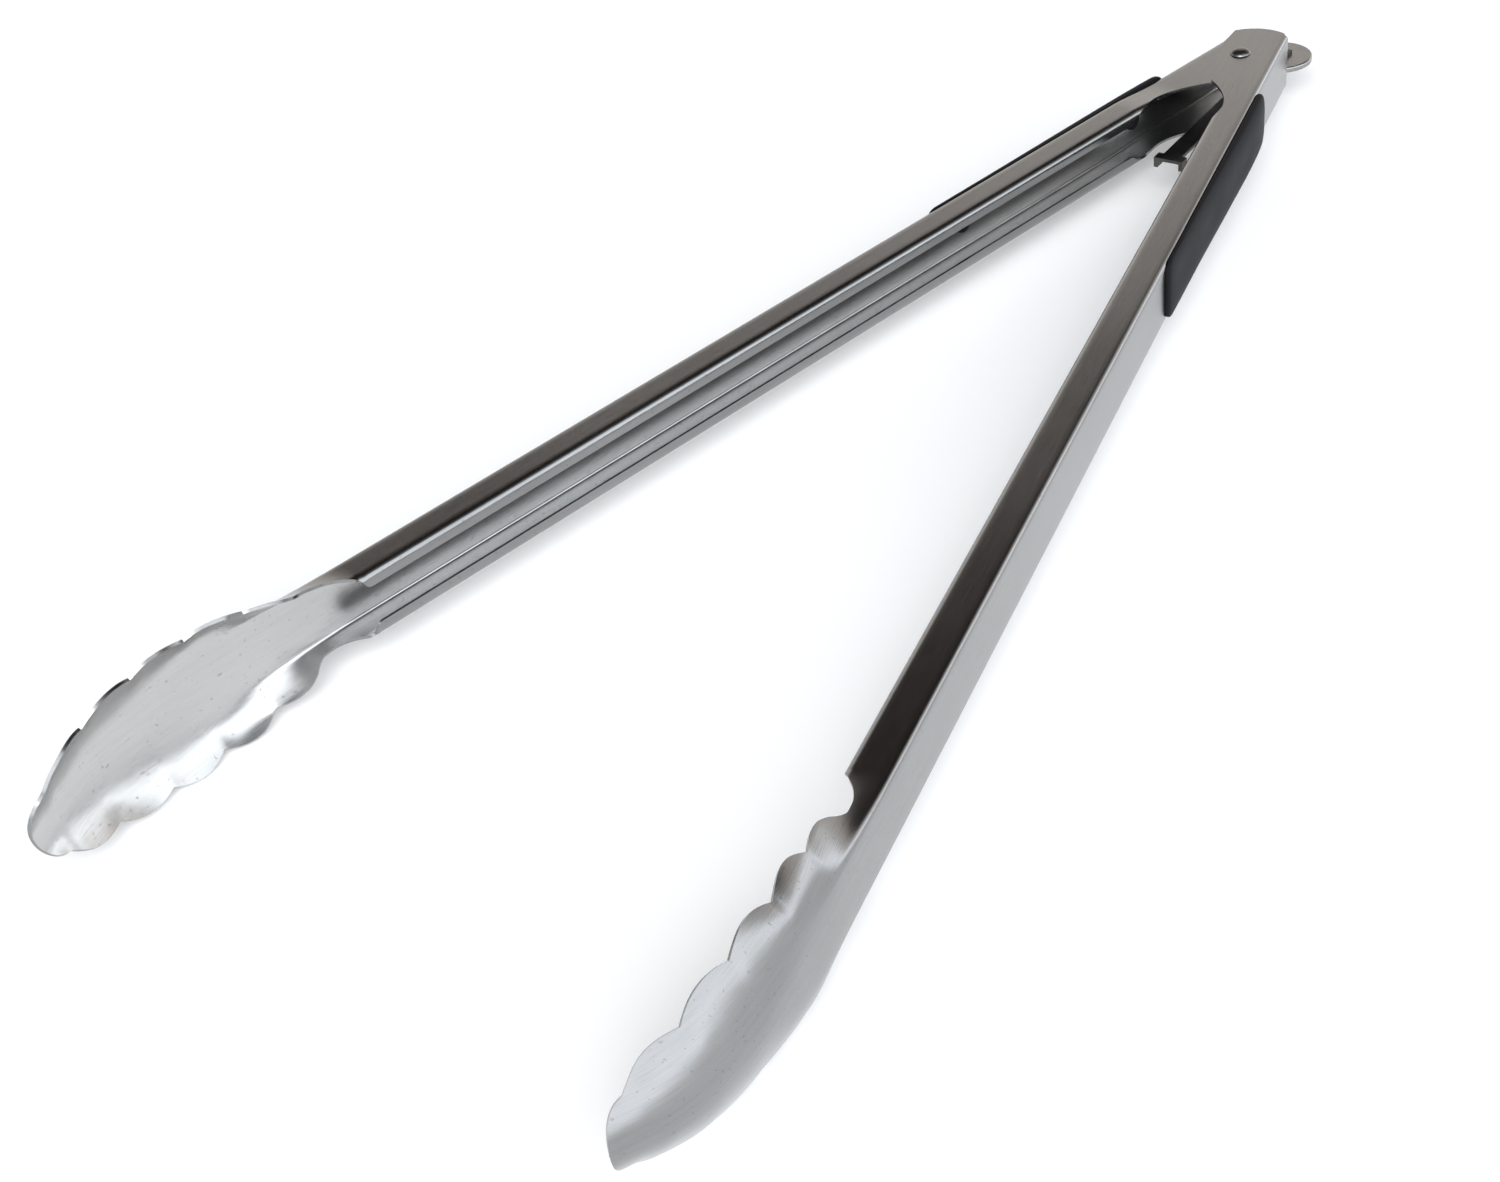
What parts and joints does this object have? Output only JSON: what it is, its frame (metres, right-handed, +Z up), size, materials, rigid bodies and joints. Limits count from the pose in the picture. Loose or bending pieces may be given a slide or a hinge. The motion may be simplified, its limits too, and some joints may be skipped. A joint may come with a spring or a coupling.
{
  "type": "spring loaded kitchen tongs",
  "caption": "Long sprung tongs with two lipped channel arms, scalloped spoon-shaped cups, side grips and a sliding lock at the hinge end",
  "frame": {"origin": "middle of the lying tongs, on the surface that the cups rest on", "axes": "+Z up along the rivet, +Y toward the hinge end, arms open toward -Y and spread evenly to both sides of X"},
  "size_m": [0.209, 0.5494, 0.0451],
  "materials": {
    "arm_steel": "brushed, satin in the cups",
    "grip_plastic": "satin moulded",
    "rivet_steel": "formed, dull",
    "spring_wire": "drawn wire",
    "lock_steel": "pressed, satin"
  },
  "bodies": {
    "left_side": {"left_arm": "arm_steel", "left_grip": "grip_plastic", "pivot_rivet": "rivet_steel", "torsion_spring": "spring_wire"},
    "right_side": {"right_arm": "arm_steel", "right_grip": "grip_plastic"},
    "swivel": {"pivot_bush": "rivet_steel"},
    "lock": {"lock_strip": "lock_steel", "lock_catch": "lock_steel", "pull_tab": "lock_steel", "tab_rivet": "rivet_steel"}
  },
  "joints": [
    {"name": "arm_hinge", "type": "hinge", "parent": "left_side", "child": "right_side", "pos_m": [0, 0.22618, 0.02255], "axis": [0, 0, -1], "range_deg": [0, 20.9], "stiffness_Nm_per_rad": 1.2, "springref_deg": -28.65, "deforming": ["torsion_spring"]},
    {"name": "lock_swing", "type": "hinge", "parent": "left_side", "child": "swivel", "pos_m": [0, 0.22618, 0.02255], "axis": [0, 0, -1], "range_deg": [0, 10.46]},
    {"name": "lock_slide", "type": "slide", "parent": "swivel", "child": "lock", "axis": [0, -1, 0], "range_m": [0, 0.008]}
  ],
  "couplings": [
    {"joint": "lock_swing", "follows": "arm_hinge", "ratio": 0.5}
  ]
}
